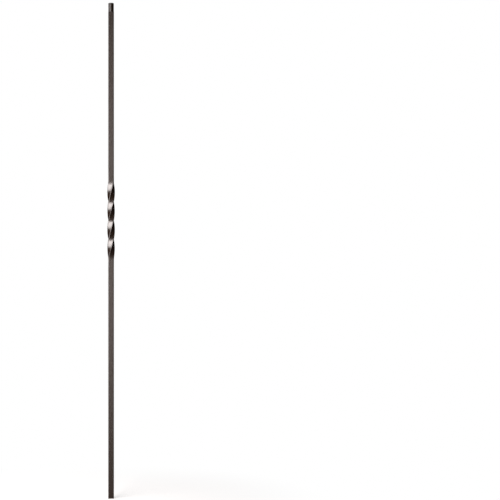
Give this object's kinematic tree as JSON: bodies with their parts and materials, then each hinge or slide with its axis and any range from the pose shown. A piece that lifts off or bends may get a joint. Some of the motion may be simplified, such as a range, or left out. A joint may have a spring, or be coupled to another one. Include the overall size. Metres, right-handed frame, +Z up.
{
  "type": "stair baluster",
  "caption": "Square iron stair baluster with rounded corners, a short right-hand twist above mid-height and a round dowel at the top that fits up into a handrail.",
  "frame": {"origin": "centre of the bar's sawn foot, where it stands in the stair tread", "axes": "+Z up along the bar to the dowel, +X to the right and -Y out of the front face"},
  "size_m": [0.017, 0.017, 1.1176],
  "materials": {
    "satin_black_finish": "satin"
  },
  "bodies": {
    "root": {"baluster": "satin_black_finish"}
  },
  "joints": []
}
